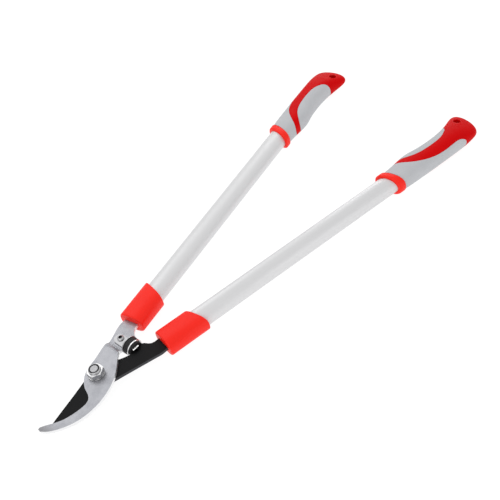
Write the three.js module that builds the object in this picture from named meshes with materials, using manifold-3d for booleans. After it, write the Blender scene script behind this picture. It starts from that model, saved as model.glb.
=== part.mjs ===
import * as THREE from "three";
import { mergeVertices } from "three/addons/utils/BufferGeometryUtils.js";
import Module from "manifold-3d";

// Bypass loppers, lying flat with the jaws shut. Millimetres, +Z up.
// The pivot axis is X = 0, Y = 0. The handles run towards +X and the jaws towards -X.
// Z = 0 is the underside of the pivot bolt's head.

// Driving sizes.
const HANDLE_HALF_ANGLE = 10.7; // each handle's turn from the centre line, degrees
const HANDLE_START_X = 81.6; // front of each red sleeve, ahead of the pivot
const HOOK_HANDLE_Y = 27; // hook handle's axis at the front of its sleeve
const BLADE_HANDLE_Y = -31.8; // blade handle's axis at the front of its sleeve
const HANDLE_LENGTH = 538.2; // front of the sleeve to the end of the grip
const PLATE_T = 4.5; // thickness of the blade and of the hook
const GAP = 0.3; // gap between pieces that touch
const TUBE_W = 29.5; // oval tube, across the handle
const TUBE_T = 24; // oval tube, through the handle
const TUBE_WALL = 1.5;
const TUBE_START = 14; // the tube's front end, inside the sleeve
const TUBE_END_INSET = 43.2; // the tube stops this far short of the grip's end
const SLEEVE_LENGTH = 52.3; // along its axis
const SLEEVE_SLANT = 0.37; // the rear end leans back this much per millimetre outwards
const SLEEVE_W = TUBE_W + 7.1;
const SLEEVE_T = TUBE_T + 2.9;
const SLEEVE_SQUARENESS = 2.7; // 2 is an oval, and more has fuller corners
const TANG_W = 20;
const TANG_END = 66; // the tang's end, inside the tube
const PIN_R = 3; // cross pin through the sleeve's plug and the tang
const PIN_STATION = 32;
const PIN_SHORT = 0.4; // each end of the pin, inside the tube's surface
const GRIP_LENGTH = 163.6; // front of the collar to the end of the grip
const COLLAR_LENGTH = 10.4;
const COLLAR_SLANT = 0.34; // the collar leans back this much per millimetre outwards
const COLLAR_W = TUBE_W + 8.7;
const COLLAR_T = TUBE_T + 5.8;
const GRIP_T = TUBE_T + 7;
const GRIP_SQUARENESS = 2.5;
const DRAWN_TUBE_W = 29.5; // the grip's outline is drawn on this tube, and widens with a wider one
const PAD_T = 2.2; // depth of the soft pads let into the grip
const HANG_HOLE_R = 5.3;
const HANG_HOLE_INSET = 15.2; // centre of the hanging hole, from the grip's end
const HANG_HOLE_OFFSET = -15; // towards the other handle
const BOLT_R = 6;
const BOLT_CLEARANCE = 0.1;
const HEX_FLATS = 2 * BOLT_R + 7; // across the flats of the bolt's head and of the nut
const BOLT_HEAD_H = 7;
const WASHER_R = BOLT_R + 4.8;
const WASHER_T = 1.2;
const NUT_H = 6.4; // the six-sided part of the nut
const NUT_COLLAR_R = BOLT_R + 1.9;
const NUT_COLLAR_H = 2.6;
const COLLAR_LIP = 1.1; // wall of the nut's collar round its nylon ring
const BOLT_CHAMFER = 1.2;
const BOLT_PROUD = 0.2; // the bolt's end above the nut
const BUFFER_R = 12; // the round end of the stop buffer's bracket
const BUFFER_X = 56.2; // stop buffer's axis, ahead of the pivot
const BUFFER_SEAT_Y = 4.6; // hook lever's edge behind the buffer
const STOP_SEAT_Y = -9.4; // blade lever's edge in front of the buffer
const BEVEL_W = 7; // width of the ground bevel on the cutting edge
const EDGE_T = 0.5; // thickness left at the cutting edge

// Heights that follow from them.
const MID_Z = BOLT_HEAD_H + GAP + PLATE_T / 2; // middle of the blade and of both tubes
const HOOK_LIFT = PLATE_T + GAP; // the hook runs this much above the blade
const NUT_Z = MID_Z + PLATE_T / 2 + HOOK_LIFT + GAP; // underside of the washer

const COLOURS = {
  steel: { color: 0xc4c5c9, roughness: 0.35, metalness: 1 },
  blackSteel: { color: 0x26272a, roughness: 0.45, metalness: 0.3 },
  zinc: { color: 0xd8d8da, roughness: 0.2, metalness: 1 },
  tube: { color: 0xdcdcdc, roughness: 0.4, metalness: 0.6 },
  brightRed: { color: 0xff3c32, roughness: 0.45, metalness: 0 },
  gripRed: { color: 0xc81419, roughness: 0.4, metalness: 0 },
  grey: { color: 0xb8babc, roughness: 0.75, metalness: 0 },
  rubber: { color: 0x1c1c1e, roughness: 0.8, metalness: 0 },
  nylon: { color: 0x30343a, roughness: 0.5, metalness: 0 },
};

const wasm = await Module();
wasm.setup();

// Solids -----------------------------------------------------------------------------------

function toSolid(geometry) {
  const bare = geometry.clone();
  bare.deleteAttribute("normal");
  bare.deleteAttribute("uv");
  const merged = mergeVertices(bare, 1e-4);
  return new wasm.Manifold(
    new wasm.Mesh({
      numProp: 3,
      vertProperties: merged.attributes.position.array,
      triVerts: new Uint32Array(merged.index.array),
    }),
  );
}

function toGeometry(solid) {
  const mesh = solid.getMesh();
  const geometry = new THREE.BufferGeometry();
  geometry.setAttribute("position", new THREE.BufferAttribute(mesh.vertProperties, 3));
  geometry.setIndex(new THREE.BufferAttribute(mesh.triVerts, 1));
  geometry.computeVertexNormals();
  return geometry;
}

function union(first, ...others) {
  return others.reduce((sum, other) => sum.add(other), first);
}

function cut(first, ...others) {
  return others.reduce((rest, other) => rest.subtract(other), first);
}

// A closed body through a row of loops that hold the same number of points.
function skin(loops) {
  const count = loops[0].length;
  const flat = loops.flat();
  const along = flat[count].clone().sub(flat[0]).normalize();
  const side = Math.abs(along.z) > 0.5 ? ["x", "y"] : ["y", "z"];
  const last = flat.length - count;
  const triangles = [];
  for (let ring = 0; ring + count < flat.length; ring += count) {
    for (let i = 0; i < count; i += 1) {
      const next = (i + 1) % count;
      triangles.push([ring + i, ring + next, ring + count + next]);
      triangles.push([ring + i, ring + count + next, ring + count + i]);
    }
  }
  for (const [start, turned] of [[0, true], [last, false]]) {
    const loop = flat
      .slice(start, start + count)
      .map((p) => new THREE.Vector2(p[side[0]], p[side[1]]));
    const upright = THREE.ShapeUtils.isClockWise(loop);
    for (const face of THREE.ShapeUtils.triangulateShape(loop, [])) {
      const corners = face.map((i) => start + i);
      triangles.push(turned === upright ? corners : corners.reverse());
    }
  }
  let volume = 0;
  for (const [a, b, c] of triangles) {
    volume += flat[a].dot(flat[b].clone().cross(flat[c]));
  }
  const index = triangles.flatMap((t) => (volume < 0 ? [t[0], t[2], t[1]] : t));
  const geometry = new THREE.BufferGeometry().setFromPoints(flat);
  geometry.setIndex(index);
  return toSolid(geometry);
}

function box(x, y, z) {
  const geometry = new THREE.BoxGeometry(x[1] - x[0], y[1] - y[0], z[1] - z[0]);
  geometry.translate((x[0] + x[1]) / 2, (y[0] + y[1]) / 2, (z[0] + z[1]) / 2);
  return toSolid(geometry);
}

// A round or many-sided body about a line along Z or Y, from one height to another.
function roundZ(radius, from, to, sides = 32, topRadius = radius, x = 0, y = 0) {
  const geometry = new THREE.CylinderGeometry(topRadius, radius, to - from, sides);
  geometry.rotateX(Math.PI / 2);
  geometry.translate(x, y, (from + to) / 2);
  return toSolid(geometry);
}

function roundY(radius, from, to, x, z) {
  const geometry = new THREE.CylinderGeometry(radius, radius, to - from, 32);
  geometry.translate(x, (from + to) / 2, z);
  return toSolid(geometry);
}

function hexagon(flats, from, to) {
  return roundZ(flats / Math.sqrt(3), from, to, 6);
}

// Outlines ---------------------------------------------------------------------------------

function smooth(points, parts = 3) {
  const curve = new THREE.CatmullRomCurve3(
    points.map(([x, y]) => new THREE.Vector3(x, y, 0)),
    false,
    "centripetal",
  );
  return curve.getPoints((points.length - 1) * parts).map((p) => [p.x, p.y]);
}

function atHeight(outline, z) {
  return outline.map(([x, y]) => new THREE.Vector3(x, y, z));
}

function plate(outline, from, to) {
  return skin([atHeight(outline, from), atHeight(outline, to)]);
}

// Moves each point of an open line to its left by a distance.
function shifted(points, distance) {
  return points.map(([x, y], i) => {
    const before = points[Math.max(i - 1, 0)];
    const after = points[Math.min(i + 1, points.length - 1)];
    const dx = after[0] - before[0];
    const dy = after[1] - before[1];
    const length = Math.hypot(dx, dy);
    return [x - (distance * dy) / length, y + (distance * dx) / length];
  });
}

// A point of a handle: station along its axis from the sleeve's front, offset outwards.
function onHandle(side, station, offset) {
  const angle = THREE.MathUtils.degToRad(HANDLE_HALF_ANGLE);
  const startY = side > 0 ? HOOK_HANDLE_Y : BLADE_HANDLE_Y;
  return [
    HANDLE_START_X + station * Math.cos(angle) - offset * Math.sin(angle),
    startY + side * (station * Math.sin(angle) + offset * Math.cos(angle)),
  ];
}

// Cutting blade: one plate with its lever and tang ----------------------------------------

const CUTTING_EDGE = smooth([
  [-79, -7],
  [-71.9, -16.8],
  [-59.5, -23.6],
  [-44.2, -27.3],
  [-26.8, -27.8],
  [-11.3, -25.1],
]);
const BLADE_BACK = smooth([
  [8.5, -20.6],
  [28, -26.9],
  [48, -33.5],
  [64, -38.8],
  [71, -41],
  onHandle(-1, 0, TANG_W / 2),
], 2);
const BLADE_TANG = [
  onHandle(-1, TANG_END, TANG_W / 2),
  onHandle(-1, TANG_END, -TANG_W / 2),
  onHandle(-1, 0, -TANG_W / 2),
];
const BLADE_INNER = smooth([
  [77.4, -21.4],
  [73.1, -19.4],
  [70.2, -15.9],
  [68.3, -12],
  [65.6, STOP_SEAT_Y],
], 2);
const BLADE_SPINE = smooth([
  [44.4, STOP_SEAT_Y],
  [32.9, -3.7],
  [25.3, 5],
  [13.8, 12.4],
  [1.2, 14.7],
  [-8.5, 10.7],
  [-32.7, 4.5],
  [-52.1, 0.3],
  [-70.7, -3.8],
  [-78, -5.6],
], 2);
const bladeEdgeIn = shifted(CUTTING_EDGE, BEVEL_W).map(([x, y], i) => {
  // The bevel fades out at the tip and at the heel.
  const share = Math.sin((Math.PI * (i + 0.5)) / CUTTING_EDGE.length) ** 0.5;
  const [edgeX, edgeY] = CUTTING_EDGE[i];
  return [edgeX + share * (x - edgeX), edgeY + share * (y - edgeY)];
});
const bladeRest = [...BLADE_BACK, ...BLADE_TANG, ...BLADE_INNER, ...BLADE_SPINE];
const bladeOutline = [...CUTTING_EDGE, ...bladeRest];
const bladeLow = MID_Z - PLATE_T / 2;
const bladeTop = MID_Z + PLATE_T / 2;

function pinHole(side) {
  const [x, y] = onHandle(side, PIN_STATION, 0);
  return roundZ(PIN_R + GAP, MID_Z - PLATE_T, MID_Z + PLATE_T, 24, PIN_R + GAP, x, y);
}

const boltHole = roundZ(BOLT_R + BOLT_CLEARANCE, 0, NUT_Z + PLATE_T);

// The stop's block across the lever's edge, and its tongue let into the lever.
const STOP_FROM = BUFFER_X - 5.6;
const STOP_TO = BUFFER_X + 3.6;
const STOP_T = 3.2;
const STOP_UP = 6.6; // above and below the middle of the lever
const TONGUE_W = 6;
const TONGUE_T = 1.5;
const TONGUE_L = 6;
const stopBack = STOP_SEAT_Y - STOP_T;

function stopBlock(room) {
  return union(
    box(
      [STOP_FROM - room, STOP_TO + room],
      [stopBack - room, STOP_SEAT_Y + room],
      [MID_Z - STOP_UP, MID_Z + STOP_UP],
    ),
    box(
      [BUFFER_X - TONGUE_W / 2 - room, BUFFER_X + TONGUE_W / 2 + room],
      [stopBack - TONGUE_L - room, stopBack + STOP_T / 2],
      [MID_Z - TONGUE_T / 2 - room, MID_Z + TONGUE_T / 2 + room],
    ),
  );
}

const cuttingBlade = cut(
  skin([
    atHeight([...bladeEdgeIn, ...bladeRest], bladeLow),
    atHeight(bladeOutline, bladeTop - EDGE_T),
    atHeight(bladeOutline, bladeTop),
  ]),
  boltHole,
  pinHole(-1),
  stopBlock(GAP),
);

// Hook: one plate, stepped up over the blade behind the pivot ------------------------------

const HOOK_OUTER = smooth([
  [38.1, 2.3],
  [27.1, -8],
  [15.9, -17.7],
  [1.8, -26.3],
  [-16.9, -32.6],
  [-32.6, -34.5],
  [-48, -33.6],
  [-62.3, -29.8],
  [-77.4, -22.1],
  [-88.4, -13],
  [-94, -5.1],
]);
const HOOK_INNER = smooth([
  [-93.6, -0.9],
  [-90.5, -0.2],
  [-78.6, -8.6],
  [-68.4, -15.1],
  [-56.4, -19.3],
  [-44, -21.5],
  [-36.6, -21.7],
  [-30.9, -19.8],
  [-26.3, -14],
  [-23, -4.6],
  [-18.6, 2.7],
  [-11.7, 9.8],
  [-2.9, 14.8],
  [5.9, 17.3],
  [15.6, 19.4],
  [29.9, 23.8],
  [44.6, 27.3],
  [55.1, 31.3],
  [65.7, 35.4],
  [72.5, 36.8],
], 2);
const HOOK_TANG = [
  onHandle(1, 0, TANG_W / 2),
  onHandle(1, TANG_END, TANG_W / 2),
  onHandle(1, TANG_END, -TANG_W / 2),
  onHandle(1, 0, -TANG_W / 2),
];
const HOOK_LEDGE = [
  ...smooth([
    [77.7, 16],
    [73.8, 13.4],
    [70.7, 10],
    [67.9, BUFFER_SEAT_Y],
  ], 2),
  [39.6, BUFFER_SEAT_Y],
];
const hookOutline = [...HOOK_OUTER, ...HOOK_INNER, ...HOOK_TANG, ...HOOK_LEDGE];

// Side view of the plate, whose step joins the raised jaw to the lever.
const STEP = { from: 36.2, to: 41.4, lean: 1.4 };
const hookLow = bladeLow + HOOK_LIFT;
const hookTop = bladeTop + HOOK_LIFT;
const FAR = HANDLE_LENGTH;
const hookSide = [
  [-FAR, hookLow],
  [STEP.from, hookLow],
  [STEP.to, bladeLow],
  [FAR, bladeLow],
  [FAR, bladeTop],
  [STEP.to + STEP.lean, bladeTop],
  [STEP.from + STEP.lean, hookTop],
  [-FAR, hookTop],
];
const stepped = toSolid(
  new THREE.ExtrudeGeometry(
    new THREE.Shape(hookSide.map(([x, z]) => new THREE.Vector2(x, z))),
    { depth: 2 * FAR, bevelEnabled: false, steps: 1 },
  )
    .rotateX(Math.PI / 2)
    .translate(0, FAR, 0),
);

// The screw that holds the buffer's bracket on the lever.
const SCREW_X = 55.2;
const SCREW_Y = 17.6;
const SHANK_R = 2.5;
const SCREW_HEAD = { r: 4.4, h: 2.4, rim: 1, dome: 1.6, socketR: 2.4, socketDepth: 1.6 };
const SCREW_TAIL = { r: 4, h: 1.6 };

function onScrew(radius, from, to, sides = 32, topRadius = radius) {
  return roundZ(radius, from, to, sides, topRadius, SCREW_X, SCREW_Y);
}

const screwHole = onScrew(SHANK_R + GAP, 0, 2 * MID_Z, 24);
const hookBlade = cut(
  plate(hookOutline, 0, 2 * MID_Z).intersect(stepped),
  boltHole,
  pinHole(1),
  screwHole,
);

// Pivot: bolt, washer and self-locking nut -------------------------------------------------

const nutBase = NUT_Z + WASHER_T + GAP;
const nutTop = nutBase + NUT_H + NUT_COLLAR_H;
const boltEnd = nutTop + BOLT_PROUD;
const HEAD_CHAMFER = 0.6;
const LAP = 1; // how far joined bodies run into each other
const boltHead = hexagon(HEX_FLATS, 0, BOLT_HEAD_H).intersect(
  roundZ(HEX_FLATS / 2 - HEAD_CHAMFER, 0, BOLT_HEAD_H, 32, HEX_FLATS / 2 + BOLT_HEAD_H),
);
const pivotBolt = union(
  boltHead,
  roundZ(BOLT_R, BOLT_HEAD_H - LAP, boltEnd - BOLT_CHAMFER),
  roundZ(BOLT_R, boltEnd - BOLT_CHAMFER, boltEnd, 32, BOLT_R - BOLT_CHAMFER),
);
const pivotWasher = cut(roundZ(WASHER_R, NUT_Z, NUT_Z + WASHER_T), boltHole);
const shankRoom = roundZ(BOLT_R + GAP, 0, nutTop + PLATE_T);
const NUT_CHAMFER = 0.2;
const COLLAR_ROUND = 0.7;
const insertSeat = nutBase + NUT_H;
const nutHex = hexagon(HEX_FLATS, nutBase, insertSeat).intersect(
  roundZ(HEX_FLATS / 2 + NUT_H, nutBase, insertSeat, 32, HEX_FLATS / 2 - NUT_CHAMFER),
);
const nutCollar = union(
  roundZ(NUT_COLLAR_R, insertSeat - LAP, nutTop - COLLAR_ROUND),
  roundZ(NUT_COLLAR_R, nutTop - COLLAR_ROUND, nutTop, 32, NUT_COLLAR_R - COLLAR_ROUND),
);
const INSERT_FIT = 0.2;
const INSERT_DEEP = 0.9; // the nylon ring's top, below the top of the collar
const insertR = NUT_COLLAR_R - COLLAR_LIP;
const pivotNut = cut(
  union(nutHex, nutCollar),
  shankRoom,
  roundZ(insertR + INSERT_FIT, insertSeat, nutTop + PLATE_T),
);
const nutInsert = cut(
  roundZ(insertR, insertSeat + GAP, nutTop - INSERT_DEEP),
  roundZ(BOLT_R + INSERT_FIT, 0, 2 * nutTop),
);

// Stop buffer on the hook lever ------------------------------------------------------------

const TAB = { x: 53.8, y: 19.3, r: 6.8, t: 1.5 };
const CUP_T = 1.5;
const RUBBER_L = 7.4;
const RUBBER_SMALLER = 0.5;
const RING_T = 1.8;
const RING_SMALLER = 0.2;
const PAD_R = BUFFER_R - 2;
const tabZ = bladeTop + GAP;
const tabTop = tabZ + TAB.t;
const cupY = BUFFER_SEAT_Y - GAP;
const tab = cut(
  union(
    roundZ(TAB.r, tabZ, tabTop, 32, TAB.r, TAB.x, TAB.y),
    box([TAB.x - TAB.r, TAB.x + TAB.r], [cupY - CUP_T / 2, TAB.y], [tabZ, tabTop]),
  ),
  screwHole,
);
const bufferBracket = union(tab, roundY(BUFFER_R, cupY - CUP_T, cupY, BUFFER_X, MID_Z));
const rubberY = cupY - CUP_T - GAP;
const ringY = rubberY - RUBBER_L - GAP;
const padY = ringY - RING_T - GAP;
const bufferRubber = roundY(BUFFER_R - RUBBER_SMALLER, rubberY - RUBBER_L, rubberY, BUFFER_X, MID_Z);
const bufferRing = roundY(BUFFER_R - RING_SMALLER, ringY - RING_T, ringY, BUFFER_X, MID_Z);

const headZ = tabTop + GAP;
const domeZ = headZ + SCREW_HEAD.rim;
const headTop = headZ + SCREW_HEAD.h;
const tailZ = bladeLow - GAP;
const bufferScrew = cut(
  union(
    onScrew(SCREW_HEAD.r, headZ, domeZ),
    onScrew(SCREW_HEAD.r, domeZ, headTop, 32, SCREW_HEAD.r - SCREW_HEAD.dome),
    onScrew(SHANK_R, tailZ - SCREW_TAIL.h / 2, domeZ - SCREW_HEAD.rim / 2, 24),
    onScrew(SCREW_TAIL.r - 1, tailZ - SCREW_TAIL.h, tailZ, 32, SCREW_TAIL.r),
  ),
  onScrew(SCREW_HEAD.socketR, headTop - SCREW_HEAD.socketDepth, headTop + PLATE_T, 6),
);

// Rubber stop pad and its block on the blade lever -----------------------------------------

const stopPad = roundY(PAD_R, STOP_SEAT_Y + GAP, padY, BUFFER_X, MID_Z);
const stopPlate = stopBlock(0);

// Handle, drawn along +X from the sleeve's front, +Y outwards, Z = 0 at mid height ----------

function section(station, centre, halfW, halfT, power, slant = 0, count = 28) {
  const loop = [];
  for (let i = 0; i < count; i += 1) {
    const angle = (2 * Math.PI * i) / count;
    const c = Math.cos(angle);
    const s = Math.sin(angle);
    const y = centre + halfW * Math.sign(c) * Math.abs(c) ** (2 / power);
    const z = halfT * Math.sign(s) * Math.abs(s) ** (2 / power);
    loop.push(new THREE.Vector3(station + slant * y, y, z));
  }
  return loop;
}

function oval(width, thick, from, to) {
  return skin([section(from, 0, width / 2, thick / 2, 2), section(to, 0, width / 2, thick / 2, 2)]);
}

const tubeEnd = HANDLE_LENGTH - TUBE_END_INSET;
const tubeBoreW = TUBE_W - 2 * TUBE_WALL;
const tubeBoreT = TUBE_T - 2 * TUBE_WALL;
const tubeRoom = oval(TUBE_W + 2 * GAP, TUBE_T + 2 * GAP, TUBE_START - GAP, tubeEnd + GAP);
const pinRoom = roundZ(PIN_R + GAP, -TUBE_T, TUBE_T, 24, PIN_R + GAP, PIN_STATION, 0);
const tube = cut(
  oval(TUBE_W, TUBE_T, TUBE_START, tubeEnd),
  oval(tubeBoreW, tubeBoreT, 0, HANDLE_LENGTH),
  pinRoom,
);

// Red sleeve: a solid nose with a slot for the tang, then a socket for the tube.
const halfSleeveW = SLEEVE_W / 2;
const halfSleeveT = SLEEVE_T / 2;
const SLEEVE_SECTIONS = [
  [0, 2.2, 0],
  [1, 1, 0],
  [3, 0.5, 0],
  [SLEEVE_LENGTH - 2, 0, SLEEVE_SLANT],
  [SLEEVE_LENGTH - 0.6, 0.3, SLEEVE_SLANT],
  [SLEEVE_LENGTH, 1, SLEEVE_SLANT],
];
const tangRoom = box(
  [-PLATE_T, TANG_END],
  [-TANG_W / 2 - GAP, TANG_W / 2 + GAP],
  [-PLATE_T / 2 - GAP, PLATE_T / 2 + GAP],
);
const sleeve = cut(
  skin(
    SLEEVE_SECTIONS.map(([s, less, slant]) =>
      section(s, 0, halfSleeveW - less, halfSleeveT - less, SLEEVE_SQUARENESS, slant, 32),
    ),
  ),
  tubeRoom,
  tangRoom,
);

// Plug that holds the flat tang in the oval tube, and the pin through all three.
const plugEnd = TANG_END - 4;
const pinEnd = TUBE_T / 2 - PIN_SHORT;
const tangPlug = cut(
  oval(tubeBoreW - 2 * GAP, tubeBoreT - 2 * GAP, TUBE_START, plugEnd),
  tangRoom,
  pinRoom,
);
const tangPin = roundZ(PIN_R, -pinEnd, pinEnd, 24, PIN_R, PIN_STATION, 0);

// Bright red collar round the tube, at the front of the grip.
const collarStart = HANDLE_LENGTH - GRIP_LENGTH;
const collarEnd = collarStart + COLLAR_LENGTH;
const COLLAR_SECTIONS = [
  [0, 2.6],
  [0.9, 1.1],
  [2.6, 0.3],
  [COLLAR_LENGTH - 3, 0],
  [COLLAR_LENGTH - 0.7, 0.4],
  [COLLAR_LENGTH, 1.2],
];
const collar = cut(
  skin(
    COLLAR_SECTIONS.map(([s, less]) =>
      section(
        collarStart + s, 0, COLLAR_W / 2 - less, COLLAR_T / 2 - less, GRIP_SQUARENESS, COLLAR_SLANT,
      ),
    ),
  ),
  tubeRoom,
);

// Grip outline as [distance from the collar's front, outer edge, inner edge, share of the thickness].
const GRIP_SECTIONS = [
  [10.7, 17, -17, 0.93],
  [16, 17.6, -17.6, 0.97],
  [25.4, 18, -18.3, 1],
  [37.4, 18.3, -20.5, 1],
  [50.4, 18.6, -22.4, 1],
  [60.4, 18.6, -20.8, 1],
  [70.4, 18.5, -18.9, 1],
  [91.4, 18.2, -18.2, 1],
  [105.4, 18.1, -18.9, 1],
  [118.4, 18, -20.4, 1],
  [130.4, 18.2, -23.6, 0.95],
  [141.4, 18.1, -28.1, 0.8],
  [151, 17.2, -31.9, 0.62],
  [157.2, 14.2, -31.6, 0.5],
  [161, 8.6, -28.8, 0.41],
  [163, 1.6, -23, 0.32],
  [GRIP_LENGTH, -4, -16.4, 0.25],
];

const GRIP_STEPS = 26;
const spread = TUBE_W / DRAWN_TUBE_W;
const MOST_SHRINK = 0.6; // of the grip's half width or half thickness, near its thin end
const SLANT_FADE = 40; // the grip's front leans with the collar, and is upright this far back

function gripBody(inset) {
  const curve = new THREE.CatmullRomCurve3(
    GRIP_SECTIONS.map(([s, outer, inner]) => new THREE.Vector3(s, spread * outer, spread * inner)),
    false,
    "centripetal",
  );
  const shares = new THREE.SplineCurve(GRIP_SECTIONS.map(([s, , , share]) => new THREE.Vector2(s, share)));
  const loops = [];
  for (let i = 0; i <= GRIP_STEPS; i += 1) {
    const edge = curve.getPoint(i / GRIP_STEPS);
    const share = shares.getPoint(i / GRIP_STEPS).y;
    const halfW = (edge.y - edge.z) / 2;
    const halfT = (share * GRIP_T) / 2;
    const middle = (edge.y + edge.z) / 2;
    const shrink = Math.min(inset, MOST_SHRINK * halfW, MOST_SHRINK * halfT);
    const slant = COLLAR_SLANT * Math.max(0, 1 - (edge.x - COLLAR_LENGTH) / SLANT_FADE);
    loops.push(
      section(collarStart + edge.x, middle, halfW - shrink, halfT - shrink, GRIP_SQUARENESS, slant),
    );
  }
  if (inset > 0) {
    // The inner body runs on past the grip's front, so the pad's front end is open.
    loops.unshift(loops[0].map((p) => p.clone().setX(p.x - COLLAR_LENGTH)));
  }
  return skin(loops);
}

// Edges of the two soft pads on the flat of the grip, as [distance from the collar, offset].
const PALM_EDGE = smooth([
  [7, -30],
  [15, -25],
  [24.4, -17.5],
  [33.4, -7],
  [44.4, 3.2],
  [56.4, 9.6],
  [72.4, 14],
  [93.4, 15.4],
  [107.4, 15],
  [121, 14.8],
  [129, 16.4],
  [134.5, 19],
  [137, 23],
  [138, 30],
], 2);
const FINGER_EDGE = smooth([
  [24, -34],
  [28.4, -25],
  [39.4, -14.7],
  [49.4, -8],
  [62.4, -3.6],
  [77.4, -2],
  [91.4, -2],
  [105.4, -3.7],
  [115.4, -8],
  [123, -14],
  [125.6, -22],
  [124, -34],
], 2);

function padRoom(edge, side, outwards) {
  const line = shifted(edge, outwards).map(([x, y]) => [collarStart + x, spread * y]);
  const far = side * COLLAR_W;
  const first = side > 0 ? collarStart - COLLAR_LENGTH : line[0][0];
  const last = line[line.length - 1];
  return plate([...line, [last[0], far], [first, far], [first, line[0][1]]], -GRIP_T, GRIP_T);
}

const whole = gripBody(0);
const underPads = gripBody(PAD_T + GAP);
const padShell = whole.subtract(gripBody(PAD_T));
const palmPad = padShell.intersect(padRoom(PALM_EDGE, 1, GAP));
const fingerPad = padShell.intersect(padRoom(FINGER_EDGE, -1, -GAP));
const hangHole = roundZ(
  HANG_HOLE_R, -GRIP_T, GRIP_T, 32, HANG_HOLE_R, HANDLE_LENGTH - HANG_HOLE_INSET, HANG_HOLE_OFFSET,
);
const palmSeat = padRoom(PALM_EDGE, 1, 0).subtract(underPads);
const fingerSeat = padRoom(FINGER_EDGE, -1, 0).subtract(underPads);
const gripCore = cut(whole, palmSeat, fingerSeat, tubeRoom, hangHole);

// Assembly ---------------------------------------------------------------------------------

function piece(name, solid, look) {
  const mesh = new THREE.Mesh(toGeometry(solid), new THREE.MeshStandardMaterial(COLOURS[look]));
  mesh.name = name;
  return mesh;
}

function handle(name, side) {
  const group = new THREE.Group();
  group.add(
    piece(`${name}_tube`, tube, "tube"),
    piece(`${name}_sleeve`, sleeve, "brightRed"),
    piece(`${name}_tang_plug`, tangPlug, "rubber"),
    piece(`${name}_tang_pin`, tangPin, "zinc"),
    piece(`${name}_collar`, collar, "brightRed"),
    piece(`${name}_grip_core`, gripCore, "gripRed"),
    piece(`${name}_palm_pad`, palmPad, "grey"),
    piece(`${name}_finger_pad`, fingerPad, "grey"),
  );
  const [x, y] = onHandle(side, 0, 0);
  group.position.set(x, y, MID_Z);
  group.rotation.z = side * THREE.MathUtils.degToRad(HANDLE_HALF_ANGLE);
  group.scale.y = side;
  return group;
}

const loppers = new THREE.Group();
loppers.add(
  piece("cutting_blade", cuttingBlade, "blackSteel"),
  piece("hook_blade", hookBlade, "steel"),
  piece("pivot_bolt", pivotBolt, "zinc"),
  piece("pivot_washer", pivotWasher, "zinc"),
  piece("pivot_nut", pivotNut, "zinc"),
  piece("pivot_nut_insert", nutInsert, "nylon"),
  piece("buffer_bracket", bufferBracket, "zinc"),
  piece("buffer_screw", bufferScrew, "zinc"),
  piece("buffer_rubber", bufferRubber, "rubber"),
  piece("buffer_ring", bufferRing, "zinc"),
  piece("stop_pad", stopPad, "rubber"),
  piece("stop_plate", stopPlate, "zinc"),
  handle("hook_handle", 1),
  handle("blade_handle", -1),
);

export default loppers;
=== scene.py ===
from math import atan, cos, pi, radians, sin, sqrt

import bpy
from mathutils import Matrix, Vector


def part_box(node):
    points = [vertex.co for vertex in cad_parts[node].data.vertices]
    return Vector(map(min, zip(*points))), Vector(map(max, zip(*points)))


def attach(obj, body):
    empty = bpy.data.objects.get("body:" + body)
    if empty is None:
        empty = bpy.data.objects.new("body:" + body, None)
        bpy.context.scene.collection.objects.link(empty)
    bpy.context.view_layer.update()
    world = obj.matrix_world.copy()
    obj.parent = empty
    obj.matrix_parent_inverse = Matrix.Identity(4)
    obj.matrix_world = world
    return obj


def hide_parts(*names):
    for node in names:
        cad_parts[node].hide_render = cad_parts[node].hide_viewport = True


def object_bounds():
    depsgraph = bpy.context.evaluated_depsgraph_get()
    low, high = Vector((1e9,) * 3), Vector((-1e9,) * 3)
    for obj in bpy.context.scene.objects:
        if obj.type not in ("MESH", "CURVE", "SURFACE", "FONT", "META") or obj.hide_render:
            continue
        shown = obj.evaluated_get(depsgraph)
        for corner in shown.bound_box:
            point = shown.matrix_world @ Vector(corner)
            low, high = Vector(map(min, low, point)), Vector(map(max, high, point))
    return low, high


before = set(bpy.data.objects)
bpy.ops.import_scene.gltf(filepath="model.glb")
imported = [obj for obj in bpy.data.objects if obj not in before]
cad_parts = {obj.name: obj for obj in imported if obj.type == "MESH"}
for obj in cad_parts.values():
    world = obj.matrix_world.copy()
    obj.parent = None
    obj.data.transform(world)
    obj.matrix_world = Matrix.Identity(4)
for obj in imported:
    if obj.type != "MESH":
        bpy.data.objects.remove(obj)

cad_box = [list(corner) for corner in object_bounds()]

# Camera: it looks down along the loppers from the jaws, with the jaws near and the grips far.
camera_data = bpy.data.cameras.new("camera")
camera_data.lens = 64.8
camera = bpy.data.objects.new("camera", camera_data)
camera.location = (-0.2458, -0.68, 0.8532)
camera.rotation_euler = (radians(43.578), radians(10.512), radians(-48.146))
bpy.context.scene.collection.objects.link(camera)
bpy.context.scene.camera = camera
bpy.context.scene.view_settings.view_transform = "Standard"


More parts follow.
